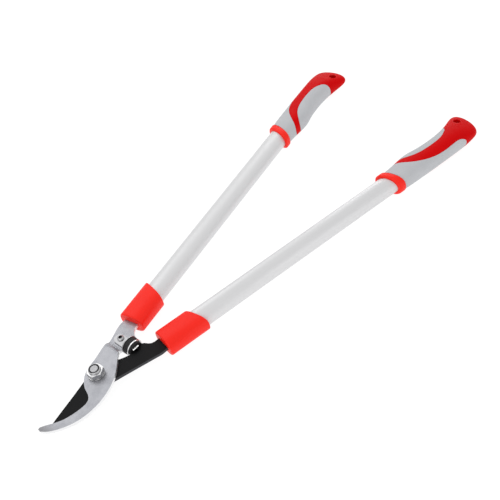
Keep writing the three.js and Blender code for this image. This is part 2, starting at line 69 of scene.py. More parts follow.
class Shade:
    """A socket in a node tree. Sums on it add Math nodes, and add() puts in any other node."""

    def __init__(self, tree, socket=None):
        self.tree = tree
        self.socket = socket

    def add(self, kind, settings=(), sockets=(), out=0):
        node = self.tree.nodes.new(kind)
        for name, setting in dict(settings).items():
            if name == "stops":
                ramp = node.color_ramp
                while len(ramp.elements) < len(setting):
                    ramp.elements.new(1)
                for element, (place, grey) in zip(ramp.elements, setting):
                    element.position = place
                    element.color = (grey, grey, grey, 1)
            else:
                setattr(node, name, setting)
        for name, value in dict(sockets).items():
            if isinstance(value, Shade):
                self.tree.links.new(value.socket, node.inputs[name])
            else:
                node.inputs[name].default_value = value
        return Shade(self.tree, node.outputs[out])

    def sum(self, operation, *values):
        return self.add("ShaderNodeMath", {"operation": operation}, dict(enumerate(values)))

    def __add__(self, other):
        return self.sum("ADD", self, other)

    __radd__ = __add__

    def __sub__(self, other):
        return self.sum("SUBTRACT", self, other)

    def __rsub__(self, other):
        return self.sum("SUBTRACT", other, self)

    def __mul__(self, other):
        return self.sum("MULTIPLY", self, other)

    __rmul__ = __mul__

    def between(self, low, high):
        """0 below low and 1 above high, eased in between."""
        return self.add(
            "ShaderNodeMapRange",
            {"interpolation_type": "SMOOTHSTEP"},
            {"Value": self, "From Min": low, "From Max": high},
        )


# Studio: a white sky that is greyer near the floor, one large soft lamp over the hook's handle,
# weaker ones over the jaws and past the grips, and a plain floor lit to white.
SKY = 0.86
LAMPS = [
    # name, place, size, watts
    ("lamp_key", (0.3, 1.05, 1.28), 1.0, 3.8),
    ("lamp_jaws", (-0.9, -0.3, 0.9), 0.9, 2.5),
    ("lamp_grips", (1.6, 0.9, 0.75), 0.8, 4),
    ("lamp_side", (0.5, -1.6, 0.25), 0.8, 2),
]
AIM = (0.2, 0, 0)
FLOOR_SIZE = 12

world = bpy.data.worlds.new("studio")
bpy.context.scene.world = world
world.use_nodes = True
sky = Shade(world.node_tree)
direction = sky.add("ShaderNodeTexCoord", out="Generated")
height = sky.add("ShaderNodeSeparateXYZ", (), {"Vector": direction}, out="Z")
shade_of_sky = sky.add(
    "ShaderNodeValToRGB",
    {"stops": [(0, 0.95), (0.5, 0.7), (0.6, 0.75), (0.78, 0.95)]},
    {"Fac": height * 0.5 + 0.5},
)
background = world.node_tree.nodes["Background"]
background.inputs["Strength"].default_value = SKY
world.node_tree.links.new(shade_of_sky.socket, background.inputs["Color"])

target = bpy.data.objects.new("lamp_target", None)
target.location = AIM
bpy.context.scene.collection.objects.link(target)
for name, place, size, watts in LAMPS:
    lamp_data = bpy.data.lights.new(name, "AREA")
    lamp_data.size = size
    lamp_data.energy = watts
    lamp = bpy.data.objects.new(name, lamp_data)
    lamp.location = place
    bpy.context.scene.collection.objects.link(lamp)
    aim = lamp.constraints.new("TRACK_TO")
    aim.target = target
    aim.track_axis = "TRACK_NEGATIVE_Z"
    aim.up_axis = "UP_Y"


def nothing_selected():
    if bpy.context.object and bpy.context.object.mode == "EDIT":
        bpy.ops.object.mode_set(mode="OBJECT")
    bpy.ops.object.select_all(action="DESELECT")


nothing_selected()
bpy.ops.mesh.primitive_plane_add(size=FLOOR_SIZE, location=(AIM[0], 0, cad_box[0][2]))
floor = bpy.context.object
floor.name = "floor"


def finish(name, metal=0.0, shine=0.5, coat=0.0, coat_rough=0.1):
    """A new material with its constants set; paint() gives it what changes over the surface."""
    material = bpy.data.materials.new(name)
    material.use_nodes = True
    shader = material.node_tree.nodes["Principled BSDF"]
    shader.inputs["Metallic"].default_value = metal
    shader.inputs["Specular IOR Level"].default_value = shine
    shader.inputs["Coat Weight"].default_value = coat
    shader.inputs["Coat Roughness"].default_value = coat_rough
    return material


def paint(material, **looks):
    """Feeds the shader: colour, rough, or relief given as (height, strength, depth in metres)."""
    tree = material.node_tree
    shader = tree.nodes["Principled BSDF"]
    if "relief" in looks:
        height, strength, depth = looks["relief"]
        looks["relief"] = height.add(
            "ShaderNodeBump", (), {"Height": height, "Strength": strength, "Distance": depth},
        )
    sockets = {
        "colour": "Base Color", "rough": "Roughness", "metal": "Metallic", "relief": "Normal",
    }
    for look, value in looks.items():
        tree.links.new(value.socket, shader.inputs[sockets[look]])


def mixed(amount, first, second):
    """From the first colour to the second as amount goes from 0 to 1."""
    return amount.add("ShaderNodeMix", {"data_type": "RGBA"}, {0: amount, 6: first, 7: second}, out=2)


def noise(material, scale, detail=2.0, stretch=(1, 1, 1), turn=0.0):
    """Cloudy 0 to 1 pattern on the piece, with so many clouds a metre, stretched or turned."""
    start = Shade(material.node_tree)
    place = start.add("ShaderNodeTexCoord", out="Object")
    turned_place = start.add("ShaderNodeMapping", (), {"Vector": place, "Rotation": (0, 0, turn)})
    place = start.add("ShaderNodeMapping", (), {"Vector": turned_place, "Scale": stretch})
    return start.add("ShaderNodeTexNoise", (), {"Vector": place, "Scale": scale, "Detail": detail})


floor_paper = finish("floor_paper", shine=0.1)
lit_floor = floor_paper.node_tree.nodes["Principled BSDF"]
lit_floor.inputs["Emission Color"].default_value = (1, 1, 1, 1)
lit_floor.inputs["Emission Strength"].default_value = 0.94
paint(
    floor_paper,
    colour=mixed(noise(floor_paper, 3), (0.14, 0.14, 0.14, 1), (0.16, 0.16, 0.16, 1)),
    rough=0.85 + 0.1 * noise(floor_paper, 40),
)
floor.data.materials.append(floor_paper)

# Cutting blade: one stamped plate of hardened steel with its lever and tang, ground to an edge
# underneath and blackened all over. The sheared sides show a little lighter than the faces.
MM = 0.001
BLACK = (0.004, 0.004, 0.0045, 1)
BLACK_SIDE = (0.045, 0.045, 0.05, 1)
GROUND = (0.5, 0.5, 0.52, 1)


def merged_copy(node, name):
    """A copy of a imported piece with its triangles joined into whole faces."""
    nothing_selected()
    piece = bpy.data.objects.new(name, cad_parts[node].data.copy())
    bpy.context.scene.collection.objects.link(piece)
    piece.data.materials.clear()
    piece.select_set(True)
    bpy.context.view_layer.objects.active = piece
    bpy.ops.object.mode_set(mode="EDIT")
    bpy.ops.mesh.select_all(action="SELECT")
    bpy.ops.mesh.remove_doubles(threshold=0.002 * MM)
    bpy.ops.mesh.dissolve_limited(angle_limit=radians(1))
    bpy.ops.object.mode_set(mode="OBJECT")
    return piece


def modify(piece, kind, **settings):
    nothing_selected()
    piece.select_set(True)
    bpy.context.view_layer.objects.active = piece
    modifier = piece.modifiers.new("step", kind)
    for name, value in settings.items():
        setattr(modifier, name, value)
    bpy.ops.object.modifier_apply(modifier=modifier.name)


def rounded(piece, radius, segments=2, sharp=35):
    """Rounds every edge sharper than so many degrees, and keeps the flats flat."""
    modify(
        piece, "BEVEL", width=radius, segments=segments, limit_method="ANGLE",
        angle_limit=radians(sharp),
    )
    bpy.ops.object.shade_smooth_by_angle(angle=radians(sharp))
    modify(piece, "WEIGHTED_NORMAL", keep_sharp=True)


def fit(piece, material, slot, body, *nodes):
    """Gives a finished piece its material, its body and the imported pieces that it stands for."""
    piece.data.materials.append(material)
    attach(piece, body)
    if nodes:
        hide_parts(*nodes)


def upward(material):
    """1 on faces that look up, 0 on upright faces and -1 on faces that look down."""
    start = Shade(material.node_tree)
    normal = start.add("ShaderNodeNewGeometry", out="Normal")
    return start.add("ShaderNodeSeparateXYZ", (), {"Vector": normal}, out="Z")


def side_face(material):
    """1 on faces that stand upright and 0 on faces that look up or down."""
    height = upward(material)
    return 1 - height.sum("ABSOLUTE", height).between(0.25, 0.7)


black_blade = finish("black_blade", shine=0.12)
clouds = noise(black_blade, 60, 4)
downward = 0 - upward(black_blade)
ground = downward.between(0.78, 0.84) - downward.between(0.93, 0.98)
coated = mixed(side_face(black_blade), BLACK, BLACK_SIDE)
paint(
    black_blade,
    colour=mixed(ground, coated, GROUND),
    rough=0.42 + 0.12 * clouds,
    metal=ground,
    relief=(noise(black_blade, 2500, 3), 0.12, 0.02 * MM),
)
blade = merged_copy("cutting_blade", "blade_plate")
rounded(blade, 0.25 * MM)
fit(blade, black_blade, "black_blade", "blade_half", "cutting_blade")

# Hook: the anvil half, a stamped steel plate stepped over the blade behind the pivot. It is
# tumbled to a satin grey. Its upright sides are painted far brighter than its face: partly ground
# steel, partly a painted reflection of the white floor. Its tip is painted darker: painted shade.
STEEL = (0.40, 0.405, 0.43, 1)
STEEL_CLOUD = (0.34, 0.345, 0.37, 1)
# upright sides: ground steel with a painted reflection, brighter than steel itself
STEEL_SIDE_GROUND_AND_SHEEN = (0.86, 0.86, 0.87, 1)
STEEL_TIP_PAINTED_SHADE = (0.24, 0.24, 0.25, 1)


def along(material, axis):
    """The place on the piece along X, Y or Z."""
    start = Shade(material.node_tree)
    place = start.add("ShaderNodeTexCoord", out="Object")
    return start.add("ShaderNodeSeparateXYZ", (), {"Vector": place}, out=axis)


hook_steel = finish("hook_steel", metal=1.0)
steel_face = mixed(noise(hook_steel, 90, 5).between(0.35, 0.7), STEEL, STEEL_CLOUD)
# The tip end is painted darker: painted shade where the hook bends away from the light.
tip_painted_shade = 1 - along(hook_steel, "X").between(-93 * MM, -76 * MM)
steel_face = mixed(tip_painted_shade, steel_face, STEEL_TIP_PAINTED_SHADE)
paint(
    hook_steel,
    # painted reflection on the upright sides
    colour=mixed(side_face(hook_steel), steel_face, STEEL_SIDE_GROUND_AND_SHEEN),
    rough=0.4 + 0.12 * noise(hook_steel, 700, 2, stretch=(0.3, 1, 1)),
    relief=(noise(hook_steel, 2200, 3), 0.15, 0.02 * MM),
)
STEP_AT = [
    # along X and height of each bend line
    (37.6 * MM, 16.6 * MM), (42.8 * MM, 11.8 * MM), (36.2 * MM, 12.1 * MM), (41.4 * MM, 7.3 * MM),
]
BEND_R = 2.2 * MM


def pick_edges(piece, wanted):
    """Starts editing a piece with the edges selected whose two ends pass a test."""
    nothing_selected()
    piece.select_set(True)
    bpy.context.view_layer.objects.active = piece
    bpy.ops.object.mode_set(mode="EDIT")
    bpy.ops.mesh.select_mode(type="EDGE")
    bpy.ops.mesh.select_all(action="DESELECT")
    bpy.ops.object.mode_set(mode="OBJECT")
    for edge in piece.data.edges:
        ends = [piece.data.vertices[i].co for i in edge.vertices]
        edge.select = wanted(*ends)
    bpy.ops.object.mode_set(mode="EDIT")


def on_bend(*ends):
    return any(
        all(abs(end.x - x) < 0.05 * MM and abs(end.z - z) < 0.05 * MM for end in ends)
        for x, z in STEP_AT
    )


hook = merged_copy("hook_blade", "hook_plate")
pick_edges(hook, on_bend)
bpy.ops.mesh.bevel(offset=BEND_R, segments=5, affect="EDGES")
bpy.ops.object.mode_set(mode="OBJECT")
rounded(hook, 0.45 * MM, 3)
fit(hook, hook_steel, "hook_steel", "hook_half", "hook_blade")

# Pivot: a zinc-plated hexagon bolt up through both plates, with a washer and a self-locking nut
# whose turned collar holds a dark nylon ring.
HEX_FLATS = 19 * MM
HEX_CORNERS = HEX_FLATS / sqrt(3)
BOLT_R = 6 * MM
WASHER_R = 10.8 * MM
COLLAR_R = 7.9 * MM
COLLAR_H = 2.6 * MM
CHAMFER_IN = 1.7 * MM
CHAMFER_H = 1.0 * MM
FINE = 72


def tidy(piece):
    """Closes what is open, joins doubles and turns the faces outwards."""
    bpy.ops.object.mode_set(mode="EDIT")
    bpy.ops.mesh.select_all(action="SELECT")
    bpy.ops.mesh.remove_doubles(threshold=0.001 * MM)
    bpy.ops.mesh.fill_holes(sides=0)
    bpy.ops.mesh.normals_make_consistent(inside=False)
    bpy.ops.object.mode_set(mode="OBJECT")


def turned(name, outline, sides=FINE):
    """A turned piece about Z through (radius, height) points from its first ring to its last."""
    nothing_selected()
    radius, height = outline[0]
    bpy.ops.mesh.primitive_circle_add(vertices=sides, radius=radius, location=(0, 0, height))
    piece = bpy.context.object
    piece.name = name
    bpy.ops.object.transform_apply(location=True)
    bpy.ops.object.mode_set(mode="EDIT")
    bpy.ops.mesh.select_all(action="SELECT")
    for next_radius, next_height in outline[1:]:
        bpy.ops.mesh.extrude_region_move(
            TRANSFORM_OT_translate={"value": (0, 0, next_height - height)}
        )
        share = next_radius / radius
        bpy.ops.transform.resize(value=(share, share, 1), center_override=(0, 0, next_height))
        radius, height = next_radius, next_height
    bpy.ops.object.mode_set(mode="OBJECT")
    tidy(piece)
    return piece


def combine(operation, piece, tool):
    """Joins a tool to a piece, cuts it away, or keeps what they share, and removes the tool."""
    modify(piece, "BOOLEAN", operation=operation, object=tool, solver="EXACT")
    bpy.data.objects.remove(tool)


def hexagon(name, low, high):
    """A six-sided block with the corners turned off at both ends."""
    nothing_selected()
    bpy.ops.mesh.primitive_cylinder_add(
        vertices=6, radius=HEX_CORNERS, depth=high - low, location=(0, 0, (low + high) / 2),
    )
    block = bpy.context.object
    block.name = name
    bpy.ops.object.transform_apply(location=True)
    wide = HEX_CORNERS + 0.1 * MM
    narrow = wide - CHAMFER_IN
    blank = turned(
        "blank",
        [(narrow, low), (wide, low + CHAMFER_H), (wide, high - CHAMFER_H), (narrow, high)],
    )
    combine("INTERSECT", block, blank)
    return block


zinc = finish("zinc_steel", metal=1.0)
zinc_clouds = noise(zinc, 150, 4)
zinc_top = mixed(zinc_clouds, (0.7, 0.7, 0.7, 1), (0.58, 0.58, 0.59, 1))
# Upright faces, the hex flats among them, take a darker colour than faces looking up or down: painted
# shade and painted dark reflection.
zinc_height = upward(zinc)
zinc_outside_painted_shade = zinc_height.sum("ABSOLUTE", zinc_height).between(0.76, 0.9)
paint(
    zinc,
    colour=mixed(zinc_outside_painted_shade, (0.5, 0.5, 0.51, 1), zinc_top),
    rough=0.07 + 0.1 * zinc_clouds + 0.12 * zinc_outside_painted_shade,
    relief=(noise(zinc, 1800, 2), 0.06, 0.02 * MM),
)

bolt_steel = finish("bolt_steel", metal=1.0)
# Upright and slanted faces, the chamfer round the bolt's end among them, are painted near black:
# painted shade in the groove.
bolt_height = upward(bolt_steel)
bolt_outside_painted_shade = bolt_height.sum("ABSOLUTE", bolt_height).between(0.76, 0.9)
bolt_clouds = noise(bolt_steel, 400, 4)
bolt_end = mixed(bolt_clouds, (0.42, 0.42, 0.43, 1), (0.30, 0.30, 0.31, 1))
paint(
    bolt_steel,
    colour=mixed(bolt_outside_painted_shade, (0.1, 0.1, 0.105, 1), bolt_end),
    rough=0.3 + 0.2 * bolt_clouds,
    relief=(bolt_clouds, 0.2, 0.05 * MM),
)

bolt_low, bolt_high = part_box("pivot_bolt")
HEAD_TOP = 7 * MM
bolt = hexagon("bolt", bolt_low[2], HEAD_TOP)
shank = turned(
    "shank",
    [
        (BOLT_R, HEAD_TOP - 1 * MM),
        (BOLT_R, bolt_high[2] - 1.2 * MM),
        (BOLT_R - 1.2 * MM, bolt_high[2]),
    ],
)
combine("UNION", bolt, shank)
rounded(bolt, 0.15 * MM)
fit(bolt, bolt_steel, "zinc_steel", "blade_half", "pivot_bolt")

washer_low, washer_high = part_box("pivot_washer")
washer = turned(
    "washer",
    [
        (BOLT_R + 0.2 * MM, washer_low[2]),
        (WASHER_R, washer_low[2]),
        (WASHER_R, washer_high[2]),
        (BOLT_R + 0.2 * MM, washer_high[2]),
        (BOLT_R + 0.2 * MM, washer_low[2]),
    ],
)
rounded(washer, 0.25 * MM)
fit(washer, zinc, "zinc_steel", "blade_half", "pivot_washer")

nut_low, nut_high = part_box("pivot_nut")
hex_top = nut_high[2] - COLLAR_H
nut = hexagon("nut", nut_low[2], hex_top)
collar = turned(
    "collar",
    [
        (COLLAR_R, hex_top - 1 * MM),
        (COLLAR_R, nut_high[2] - 1.1 * MM),
        (COLLAR_R - 0.25 * MM, nut_high[2] - 0.5 * MM),
        (COLLAR_R - 0.7 * MM, nut_high[2] - 0.1 * MM),
        (COLLAR_R - 1.1 * MM, nut_high[2]),
    ],
)
combine("UNION", nut, collar)
bore = turned("bore", [(BOLT_R + 0.25 * MM, nut_low[2] - MM), (BOLT_R + 0.25 * MM, nut_high[2] + MM)])
combine("DIFFERENCE", nut, bore)
seat = turned(
    "seat", [(COLLAR_R - 1.1 * MM, nut_high[2] - 1.6 * MM), (COLLAR_R - 1.1 * MM, nut_high[2] + MM)],
)
combine("DIFFERENCE", nut, seat)
rounded(nut, 0.2 * MM)
fit(nut, zinc, "zinc_steel", "blade_half", "pivot_nut")

hidden_plastic = finish("hidden_plastic", shine=0.4)
paint(
    hidden_plastic,
    colour=mixed(noise(hidden_plastic, 200), (0.016, 0.018, 0.022, 1), (0.03, 0.032, 0.038, 1)),
    rough=0.45 + 0.2 * noise(hidden_plastic, 900),
)
insert = turned(
    "nylon_ring",
    [
        (BOLT_R + 0.1 * MM, nut_high[2] - 1.5 * MM),
        (COLLAR_R - 1.2 * MM, nut_high[2] - 1.5 * MM),
        (COLLAR_R - 1.2 * MM, nut_high[2] - 0.9 * MM),
        (BOLT_R + 0.1 * MM, nut_high[2] - 0.9 * MM),
        (BOLT_R + 0.1 * MM, nut_high[2] - 1.5 * MM),
    ],
)
rounded(insert, 0.1 * MM)
fit(insert, hidden_plastic, "hidden_plastic", "blade_half", "pivot_nut_insert")

# Stop buffer on the hook's lever: a bracket pressed from bright sheet, screwed down through the
# lever, whose round end holds a thick rubber disc and a steel ring.
SHEET = (0.47, 0.47, 0.48, 1)
SHEET_CLOUD = (0.42, 0.42, 0.43, 1)
bracket_steel = finish("bracket_steel", metal=1.0)
paint(
    bracket_steel,
    colour=mixed(noise(bracket_steel, 200, 4), SHEET, SHEET_CLOUD),
    rough=0.34 + 0.12 * noise(bracket_steel, 600),
    relief=(noise(bracket_steel, 2000, 3), 0.12, 0.02 * MM),
)
bracket = merged_copy("buffer_bracket", "bracket_sheet")
rounded(bracket, 0.5 * MM, 3)
fit(bracket, bracket_steel, "zinc_steel", "hook_half", "buffer_bracket")

SCREW_AT = (55.2 * MM, 17.6 * MM)
SOCKET_R = 2.4 * MM
screw_steel = finish("screw_steel", metal=1.0)
off_x = along(screw_steel, "X") - SCREW_AT[0]
off_y = along(screw_steel, "Y") - SCREW_AT[1]
# The socket in the head is painted near black: painted shade in the recess.
socket = 1 - (off_x * off_x + off_y * off_y).between(SOCKET_R**2, (1.1 * SOCKET_R) ** 2)
paint(
    screw_steel,
    colour=mixed(socket, SHEET, (0.05, 0.05, 0.055, 1)),
    rough=0.3 + 0.15 * noise(screw_steel, 800) + 0.3 * socket,
)
screw = merged_copy("buffer_screw", "bracket_screw")
rounded(screw, 0.2 * MM)
fit(screw, screw_steel, "zinc_steel", "hook_half", "buffer_screw")

rubber = finish("buffer_rubber", shine=0.35)
paint(
    rubber,
    colour=mixed(noise(rubber, 300, 4), (0.006, 0.006, 0.0065, 1), (0.016, 0.016, 0.017, 1)),
    rough=0.5 + 0.25 * noise(rubber, 500, 3),
    relief=(noise(rubber, 1500, 3), 0.2, 0.03 * MM),
)

ring_steel = finish("ring_steel", metal=1.0)
paint(
    ring_steel,
    colour=mixed(noise(ring_steel, 300), (0.9, 0.9, 0.9, 1), (0.82, 0.82, 0.83, 1)),
    rough=0.25 + 0.15 * noise(ring_steel, 700),
)


def middle(node):
    low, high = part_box(node)
    return [(a + b) / 2 for a, b in zip(low, high)]


def disc(node, name, waist=0.0, radius=0.4 * MM, ring_of=None):
    """A round piece along Y that fills a packed one's box, with its middle drawn in by a waist."""
    low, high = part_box(node)
    wide = (high[2] - low[2]) / 2
    deep = high[1] - low[1]
    outline = [(wide, -deep / 2), (wide - waist, 0), (wide, deep / 2)]
    if not waist:
        outline.pop(1)
    piece = turned(name, outline)
    piece.rotation_euler = (pi / 2, 0, 0)
    piece.location = middle(node)
    nothing_selected()
    piece.select_set(True)
    bpy.context.view_layer.objects.active = piece
    bpy.ops.object.transform_apply(location=True, rotation=True)
    rounded(piece, radius, 3)
    return piece


for node, name, material, waist, radius, body in [
    ("buffer_rubber", "rubber_disc", rubber, 0, 0.9 * MM, "hook_half"),
    ("buffer_ring", "steel_ring", ring_steel, 0, 0.35 * MM, "hook_half"),
    ("stop_pad", "rubber_stop", rubber, 0, 0.5 * MM, "blade_half"),
]:
    slot = "zinc_steel" if material is ring_steel else "buffer_rubber"
    fit(disc(node, name, waist, radius), material, slot, body, node)

# Stop block: steel across the edge of the blade's lever behind the pad, blackened with the
# lever. Its top is painted bright metal: a painted highlight. Its tongue is let into the lever.
PAINTED_HIGHLIGHT = (0.9, 0.9, 0.89, 1)
stop_steel = finish("stop_steel", shine=0.3)
# The top faces are painted bright metal: a painted highlight.
painted_highlight_mask = upward(stop_steel).between(0.6, 0.9)
paint(
    stop_steel,
    colour=mixed(painted_highlight_mask, BLACK, PAINTED_HIGHLIGHT),
    rough=0.4 - 0.15 * painted_highlight_mask + 0.1 * noise(stop_steel, 600),
    metal=painted_highlight_mask,
)
stop_block = merged_copy("stop_plate", "stop_block")
rounded(stop_block, 0.4 * MM, 3)
fit(stop_block, stop_steel, "zinc_steel", "blade_half", "stop_plate")

# Handles: each is drawn along X from the front of its sleeve, with Y outwards, and then turned
# into place. The tubes are drawn aluminium of an oval section, satin silver.
HANDLE_ANGLE = radians(10.7)
HANDLE_X = 81.6 * MM
SIDES = {
    # name: side of the centre line, front of the sleeve across it, body
    "hook": (1, 27 * MM, "hook_half"),
    "blade": (-1, -31.8 * MM, "blade_half"),
}
HANDLE_Z = middle("hook_handle_tube")[2]
LENGTH = 538.2 * MM
TUBE_START = 14 * MM
TUBE_END = 495 * MM
TUBE_W = 29.5 * MM
TUBE_T = 24 * MM
TUBE_WALL = 1.5 * MM


def placed(piece, name, handle):
    """A copy of a piece drawn in handle measure, set on the hook's or on the blade's side."""
    side, across, body = SIDES[handle]
    copy = bpy.data.objects.new(name, piece.data.copy())
    bpy.context.scene.collection.objects.link(copy)
    copy.location = (HANDLE_X, across, HANDLE_Z)
    copy.rotation_euler = (0, 0, side * HANDLE_ANGLE)
    copy.scale = (1, side, 1)
    nothing_selected()
    copy.select_set(True)
    bpy.context.view_layer.objects.active = copy
    bpy.ops.object.transform_apply(location=True, rotation=True, scale=True)
    if side < 0:
        bpy.ops.object.mode_set(mode="EDIT")
        bpy.ops.mesh.select_all(action="SELECT")
        bpy.ops.mesh.normals_make_consistent(inside=False)
        bpy.ops.object.mode_set(mode="OBJECT")
    return copy


def on_both_handles(piece, name, materials, slot, *parts):
    for handle, (side, across, body) in SIDES.items():
        nodes = [f"{handle}_handle_{part}" for part in parts]
        fit(placed(piece, f"{handle}_{name}", handle), materials[handle], slot, body, *nodes)
    bpy.data.objects.remove(piece)


def lying_oval(name, start, end, width, thick, sides=96):
    """A closed oval bar along X."""
    nothing_selected()
    bpy.ops.mesh.primitive_cylinder_add(
        vertices=sides, radius=0.5, depth=end - start,
        location=((start + end) / 2, 0, 0), rotation=(0, pi / 2, 0), scale=(thick, width, 1),
    )
    piece = bpy.context.object
    piece.name = name
    bpy.ops.object.transform_apply(location=True, rotation=True, scale=True)
    return piece


tube_finish = {}
for handle, (side, across, body) in SIDES.items():
    satin = finish(f"tube_finish_{handle}", metal=0.35, shine=0.35)
    drawn = noise(satin, 900, 2, stretch=(0.02, 1, 1), turn=-side * HANDLE_ANGLE)
    paint(
        satin,
        colour=mixed(drawn, (0.74, 0.74, 0.745, 1), (0.68, 0.68, 0.69, 1)),
        rough=0.4 + 0.1 * drawn,
        relief=(drawn, 0.05, 0.02 * MM),
    )
    tube_finish[handle] = satin

tube = lying_oval("tube", TUBE_START, TUBE_END, TUBE_W, TUBE_T)
combine(
    "DIFFERENCE",
    tube,
    lying_oval("room", 0, LENGTH, TUBE_W - 2 * TUBE_WALL, TUBE_T - 2 * TUBE_WALL),
)
rounded(tube, 0.2 * MM)
on_both_handles(tube, "tube", tube_finish, "tube_finish", "tube")

# Sleeves: bright red moulded sockets. A solid nose with a slot takes the flat tang, and the rear
# end, cut on a slant, takes the tube.
SLEEVE_L = 52.3 * MM
SLEEVE_W = 36.6 * MM
SLEEVE_T = 26.9 * MM
SLEEVE_SLANT = 0.37
SLEEVE_SQUARE = 2.7
TANG_W = 20.6 * MM
TANG_T = 5.1 * MM
TANG_END = 66 * MM


def bar(name, start, end, width, thick, squareness):
    """A bar along X. A squareness of 2 is an oval, and more has fuller corners."""
    nothing_selected()
    bpy.ops.mesh.primitive_cube_add(size=2)
    piece = bpy.context.object
    piece.name = name
    pick_edges(piece, lambda a, b: abs(a.x - b.x) > 1)
    bpy.ops.mesh.bevel(offset=1, segments=16, profile=0.5 ** (2 / squareness), affect="EDGES")
    bpy.ops.object.mode_set(mode="OBJECT")
    piece.scale = ((end - start) / 2, width / 2, thick / 2)
    piece.location = ((start + end) / 2, 0, 0)
    bpy.ops.object.transform_apply(location=True, rotation=True, scale=True)
    tidy(piece)
    return piece


def sawn(piece, station, slant, keep_front):
    """Saws a bar through at a station, leaning back by the slant, and closes the cut."""
    nothing_selected()
    piece.select_set(True)
    bpy.context.view_layer.objects.active = piece
    bpy.ops.object.mode_set(mode="EDIT")
    bpy.ops.mesh.select_all(action="SELECT")
    bpy.ops.mesh.bisect(
        plane_co=(station, 0, 0), plane_no=(1, -slant, 0), use_fill=True,
        clear_outer=keep_front, clear_inner=not keep_front,
    )
    bpy.ops.object.mode_set(mode="OBJECT")


def round_end(piece, station, slant, radius, segments=4):
    """Rounds the rim of a bar's end."""
    near = 0.01 * MM

    def on_rim(*ends):
        return all(abs(end.x - slant * end.y - station) < near for end in ends)

    pick_edges(piece, on_rim)
    bpy.ops.mesh.bevel(offset=radius, segments=segments, affect="EDGES")
    bpy.ops.object.mode_set(mode="OBJECT")


sleeve_red = finish("sleeve_red", shine=0.22)
paint(
    sleeve_red,
    colour=mixed(noise(sleeve_red, 30, 3), (1.0, 0.020, 0.008, 1), (0.9, 0.014, 0.006, 1)),
    rough=0.36 + 0.1 * noise(sleeve_red, 250, 3),
    relief=(noise(sleeve_red, 1400, 2), 0.12, 0.04 * MM),
)
sleeve = bar("sleeve", 0, SLEEVE_L + SLEEVE_W, SLEEVE_W, SLEEVE_T, SLEEVE_SQUARE)
sawn(sleeve, SLEEVE_L, SLEEVE_SLANT, True)
round_end(sleeve, 0, 0, 2.2 * MM)
round_end(sleeve, SLEEVE_L, SLEEVE_SLANT, 1 * MM, 3)
combine(
    "DIFFERENCE",
    sleeve,
    lying_oval("room", TUBE_START - 0.3 * MM, LENGTH, TUBE_W + 0.4 * MM, TUBE_T + 0.4 * MM),
)
nothing_selected()
bpy.ops.mesh.primitive_cube_add(size=1, scale=(2 * TANG_END, TANG_W, TANG_T))
bpy.ops.object.transform_apply(scale=True)
combine("DIFFERENCE", sleeve, bpy.context.object)
bpy.context.view_layer.objects.active = sleeve
sleeve.select_set(True)
bpy.ops.object.shade_smooth_by_angle(angle=radians(40))
both = {"hook": sleeve_red, "blade": sleeve_red}
on_both_handles(sleeve, "sleeve", both, "sleeve_red", "sleeve")

# Collars: bright red rings that lean back with the grips and cover their moulded front edge.
COLLAR_START = 374.6 * MM
RING_L = 10.4 * MM
RING_W = 38.2 * MM
RING_T = 29.8 * MM
RING_SLANT = 0.34
RING_SQUARE = 2.5
ring = bar("ring", COLLAR_START - RING_W, COLLAR_START + RING_W, RING_W, RING_T, RING_SQUARE)
sawn(ring, COLLAR_START, RING_SLANT, False)
sawn(ring, COLLAR_START + RING_L, RING_SLANT, True)
round_end(ring, COLLAR_START, RING_SLANT, 2.6 * MM, 5)
round_end(ring, COLLAR_START + RING_L, RING_SLANT, 1.2 * MM, 3)
combine(
    "DIFFERENCE",
    ring,
    lying_oval("room", 0, LENGTH, TUBE_W + 0.4 * MM, TUBE_T + 0.4 * MM),
)
bpy.ops.object.shade_smooth_by_angle(angle=radians(40))
on_both_handles(ring, "collar", both, "sleeve_red", "collar")

# Grips: a hard red core moulded over the tube's end, with two soft grey pads let into it. The
# core shows as a band over the top between the pads and as the flared end with its hanging hole.
GRIP_T = 31 * MM
GRIP_SQUARE = 2.5
PAD_DEPTH = 2.2 * MM
GROOVE = 0.25 * MM
GRIP_SECTIONS = [
    # from the collar's front, outer edge, inner edge, share of the thickness
    (0, 16.6, -16.6, 0.92),
    (10.7, 17, -17, 0.94),
    (25.4, 18, -18.3, 1),
    (37.4, 18.3, -20.5, 1),
    (50.4, 18.6, -22.5, 1),
    (60.4, 18.6, -20.8, 1),
    (72, 18.5, -18.7, 1),
    (91.4, 18.2, -18.1, 1),
    (105.4, 18.1, -18.9, 1),
    (118.4, 18, -20.4, 1),
    (130.4, 18.2, -23.6, 0.95),
    (141.4, 18.1, -28.1, 0.8),
    (151, 17.3, -32.2, 0.62),
    (157.2, 14.8, -32.2, 0.5),
    (161, 9.2, -29.4, 0.41),
    (163, 2, -23.6, 0.33),
    (163.6, -4, -16.4, 0.26),
]
PALM_EDGE = [
    (7, -30), (15, -25), (24.4, -17.5), (33.4, -7), (44.4, 3.2), (56.4, 9.6), (72.4, 14),
    (93.4, 15.4), (107.4, 15), (121, 14.8), (129, 16.4), (134.5, 19), (137, 23), (138, 30),
]
FINGER_EDGE = [
    (24, -34), (28.4, -25), (39.4, -14.7), (49.4, -8), (62.4, -3.6), (77.4, -2), (91.4, -2),
    (105.4, -3.7), (115.4, -8), (123, -14), (125.6, -22), (124, -34),
]
HOLE_R = 5.3 * MM
HOLE_X = LENGTH - 15.2 * MM
HOLE_Y = -15 * MM


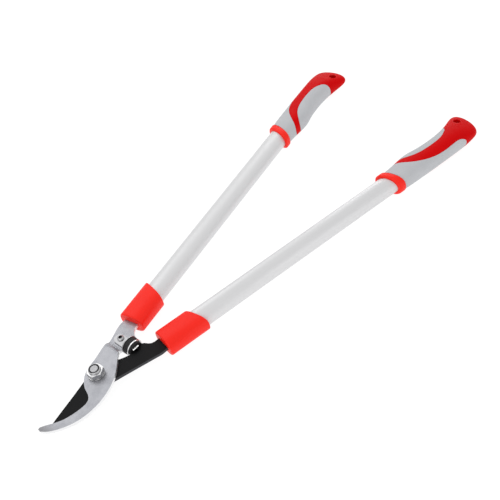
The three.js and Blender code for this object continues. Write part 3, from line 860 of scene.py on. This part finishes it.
def grip_body(name, inset):
    """The grip's outside, or a body inside it by so much."""
    nothing_selected()
    bpy.ops.mesh.primitive_plane_add(size=2, rotation=(0, pi / 2, 0))
    piece = bpy.context.object
    piece.name = name
    bpy.ops.object.transform_apply(rotation=True)
    bpy.ops.object.mode_set(mode="EDIT")
    bpy.ops.mesh.select_all(action="SELECT")
    bpy.ops.mesh.bevel(
        offset=1, segments=9, profile=0.5 ** (2 / GRIP_SQUARE), affect="VERTICES",
    )
    bpy.ops.mesh.select_all(action="SELECT")
    bpy.ops.mesh.remove_doubles(threshold=0.001)
    bpy.ops.mesh.select_all(action="SELECT")
    x, y, half_w, half_t = 0, 0, 1, 1
    for i, (station, outer, inner, share) in enumerate(GRIP_SECTIONS):
        new_x = COLLAR_START + station * MM
        new_y = (outer + inner) / 2 * MM
        new_w = max((outer - inner) / 2 * MM - inset, 2 * MM)
        new_t = max(share * GRIP_T / 2 - inset, 2 * MM)
        step = (new_x - x, new_y - y, 0)
        if i:
            bpy.ops.mesh.extrude_region_move(TRANSFORM_OT_translate={"value": step})
        else:
            bpy.ops.transform.translate(value=step)
        bpy.ops.transform.resize(
            value=(1, new_w / half_w, new_t / half_t), center_override=(new_x, new_y, 0),
        )
        x, y, half_w, half_t = new_x, new_y, new_w, new_t
    bpy.ops.object.mode_set(mode="OBJECT")
    tidy(piece)
    modify(piece, "SUBSURF", levels=1, render_levels=1)
    return piece


def pad_block(name, edge, side, outwards):
    """A tall block over one pad: its edge line on the grip, and far outside it on that side."""
    curve = bpy.data.curves.new(name, "CURVE")
    curve.dimensions = "2D"
    curve.fill_mode = "BOTH"
    curve.extrude = GRIP_T
    curve.resolution_u = 5
    far = side * RING_W / MM
    near_end = -RING_W / MM / 4 if side > 0 else edge[0][0]
    corners = [(edge[-1][0], far), (near_end, far)]
    if side > 0:
        corners.append((near_end, edge[0][1]))
    line = curve.splines.new("BEZIER")
    line.bezier_points.add(len(edge) + len(corners) - 1)
    line.use_cyclic_u = True
    for i, (point, (px, py)) in enumerate(zip(line.bezier_points, [*edge, *corners])):
        point.co = (COLLAR_START + px * MM, py * MM, 0)
        kind = "AUTO" if 0 < i < len(edge) - 1 else "VECTOR"
        point.handle_left_type = kind
        point.handle_right_type = kind
    curve.offset = outwards
    block = bpy.data.objects.new(name, curve)
    bpy.context.scene.collection.objects.link(block)
    nothing_selected()
    block.select_set(True)
    bpy.context.view_layer.objects.active = block
    bpy.ops.object.convert(target="MESH")
    tidy(bpy.context.object)
    return bpy.context.object


def again(piece):
    copy = bpy.data.objects.new(piece.name + "_again", piece.data.copy())
    bpy.context.scene.collection.objects.link(copy)
    return copy


grip_red = finish("grip_red", shine=0.05)
paint(
    grip_red,
    colour=mixed(noise(grip_red, 25, 3), (0.68, 0.001, 0.002, 1), (0.56, 0.001, 0.002, 1)),
    rough=0.4 + 0.12 * noise(grip_red, 200, 3),
    relief=(noise(grip_red, 1500, 2), 0.15, 0.05 * MM),
)
grip_grey = finish("grip_grey", shine=0.3)
speckle = noise(grip_grey, 1200, 3)
paint(
    grip_grey,
    colour=mixed(
        0.5 * noise(grip_grey, 60, 4) + 0.5 * speckle,
        (0.57, 0.58, 0.6, 1),
        (0.44, 0.45, 0.47, 1),
    ),
    rough=0.62 + 0.2 * speckle,
    relief=(speckle, 0.35, 0.08 * MM),
)

whole = grip_body("whole", 0)
sawn(whole, COLLAR_START + RING_L + 0.3 * MM, RING_SLANT, False)
inside = grip_body("inside", PAD_DEPTH)
core = again(whole)
for name, edge, side in [("palm_pad", PALM_EDGE, 1), ("finger_pad", FINGER_EDGE, -1)]:
    pad = again(whole)
    combine("INTERSECT", pad, pad_block("block", edge, side, -GROOVE))
    combine("DIFFERENCE", pad, again(inside))
    rounded(pad, 0.45 * MM, 3, 50)
    pocket = pad_block("pocket", edge, side, 0)
    combine("DIFFERENCE", pocket, grip_body("deeper", PAD_DEPTH + 0.3 * MM))
    combine("DIFFERENCE", core, pocket)
    both = {"hook": grip_grey, "blade": grip_grey}
    on_both_handles(pad, name, both, "grip_grey", name)
combine(
    "DIFFERENCE",
    core,
    lying_oval("room", 0, TUBE_END + 0.3 * MM, TUBE_W + 0.4 * MM, TUBE_T + 0.4 * MM),
)
hole = turned("hole", [(HOLE_R, -GRIP_T), (HOLE_R, GRIP_T)], 48)
hole.location = (HOLE_X, HOLE_Y, 0)
nothing_selected()
hole.select_set(True)
bpy.context.view_layer.objects.active = hole
bpy.ops.object.transform_apply(location=True)
combine("DIFFERENCE", core, hole)
rounded(core, 0.3 * MM, 2, 50)
both = {"hook": grip_red, "blade": grip_red}
on_both_handles(core, "grip", both, "grip_red", "grip_core")
bpy.data.objects.remove(whole)
bpy.data.objects.remove(inside)

# Plugs and cross pins: hidden in the sleeves, they hold each flat tang in its oval tube.
for handle in SIDES:
    for part, material, slot in [
        ("tang_plug", hidden_plastic, "hidden_plastic"),
        ("tang_pin", zinc, "zinc_steel"),
    ]:
        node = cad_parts[f"{handle}_handle_{part}"]
        node.data.materials.clear()
        node.data.materials.append(material)
